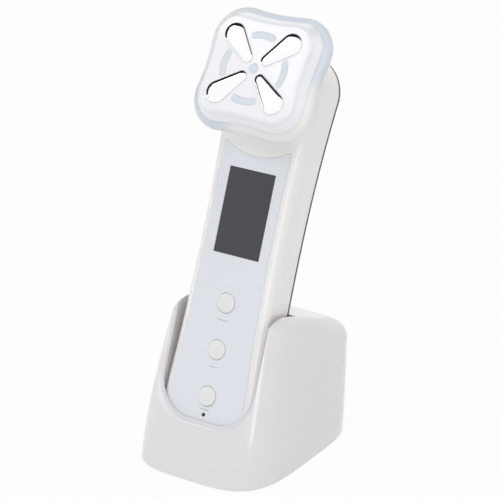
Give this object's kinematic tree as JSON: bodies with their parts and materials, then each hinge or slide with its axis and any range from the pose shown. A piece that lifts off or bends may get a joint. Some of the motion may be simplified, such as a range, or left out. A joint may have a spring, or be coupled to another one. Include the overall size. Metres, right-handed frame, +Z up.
{
  "type": "facial toning device",
  "caption": "Handset with a tilted head of polished electrodes, a display and press buttons, standing in its leaning charging cradle.",
  "frame": {"origin": "on the table, under the middle of the cradle's anti-slip pad", "axes": "+Z up, front towards -Y, +X to the right as seen from the front"},
  "size_m": [0.0668, 0.0875, 0.1828],
  "materials": {
    "shell_white": "satin white moulding",
    "inner_grey": "light grey moulding",
    "pad_rubber": "matt",
    "screw_steel": "plated",
    "board_green": "solder mask",
    "board_fittings": "mixed small parts",
    "inlet_steel": "drawn shell",
    "black_plastic": "matt",
    "contact_gold": "gold plated",
    "lead_sleeve": "silicone sleeve",
    "mirror_plate": "mirror polished",
    "panel_pale": "pale blue grey, glossy",
    "window_dark": "dark smoked, glossy",
    "display_glass": "unlit display",
    "transformer": "ferrite and tape",
    "cell_wrap": "shrink wrap",
    "button_white": "satin white",
    "ring_frosted": "frosted, lets light through",
    "led_board": "white solder mask",
    "led_bodies": "phosphor yellow",
    "electrode_mirror": "mirror polished"
  },
  "bodies": {
    "cradle": {"cradle_shell": "shell_white", "base_plate": "inner_grey", "anti_slip_pad": "pad_rubber", "base_screws": "screw_steel", "charging_board": "board_green", "charging_board_parts": "board_fittings", "board_screws": "screw_steel", "power_inlet": "inlet_steel", "contact_block": "black_plastic", "pin_barrels": "contact_gold", "pin_springs": "screw_steel", "contact_leads": "lead_sleeve"},
    "handset": {"front_casing": "shell_white", "rear_cover": "inner_grey", "back_plate": "mirror_plate", "casing_screws": "screw_steel", "front_panel": "panel_pale", "display_window": "window_dark", "display_module": "display_glass", "indicator_lens": "window_dark", "main_board": "board_green", "board_parts": "board_fittings", "boost_transformer": "transformer", "switch_bodies": "black_plastic", "battery": "cell_wrap", "battery_leads": "lead_sleeve", "charge_contacts": "contact_gold", "head_cap": "shell_white", "glow_ring": "ring_frosted", "head_screws": "screw_steel", "light_diffuser": "ring_frosted", "led_board": "led_board", "leds": "led_bodies", "upper_left_electrode": "electrode_mirror", "upper_right_electrode": "electrode_mirror", "lower_left_electrode": "electrode_mirror", "lower_right_electrode": "electrode_mirror", "electrode_nuts": "screw_steel", "head_harness": "lead_sleeve"},
    "mode_button": {"mode_button": "button_white", "mode_plunger": "black_plastic"},
    "level_button": {"level_button": "button_white", "level_plunger": "black_plastic"},
    "power_button": {"power_button": "button_white", "power_plunger": "black_plastic"},
    "left_pin": {"left_spring_pin": "contact_gold"},
    "right_pin": {"right_spring_pin": "contact_gold"}
  },
  "joints": [
    {"name": "handset_lift", "type": "slide", "parent": "cradle", "child": "handset", "axis": [0, 0.3665, 0.9304], "range_m": [0, 0.12]},
    {"name": "mode_press", "type": "slide", "parent": "handset", "child": "mode_button", "axis": [0, 0.9304, -0.3665], "range_m": [0, 0.0005], "stiffness_N_per_m": 2500, "springref_m": -0.0002},
    {"name": "level_press", "type": "slide", "parent": "handset", "child": "level_button", "axis": [0, 0.9304, -0.3665], "range_m": [0, 0.0005], "stiffness_N_per_m": 2500, "springref_m": -0.0002},
    {"name": "power_press", "type": "slide", "parent": "handset", "child": "power_button", "axis": [0, 0.9304, -0.3665], "range_m": [0, 0.0005], "stiffness_N_per_m": 2500, "springref_m": -0.0002},
    {"name": "left_pin_travel", "type": "slide", "parent": "cradle", "child": "left_pin", "axis": [0, 0.3665, 0.9304], "range_m": [-0.0008, 0], "stiffness_N_per_m": 300, "springref_m": 0.0008},
    {"name": "right_pin_travel", "type": "slide", "parent": "cradle", "child": "right_pin", "axis": [0, 0.3665, 0.9304], "range_m": [-0.0008, 0], "stiffness_N_per_m": 300, "springref_m": 0.0008}
  ]
}
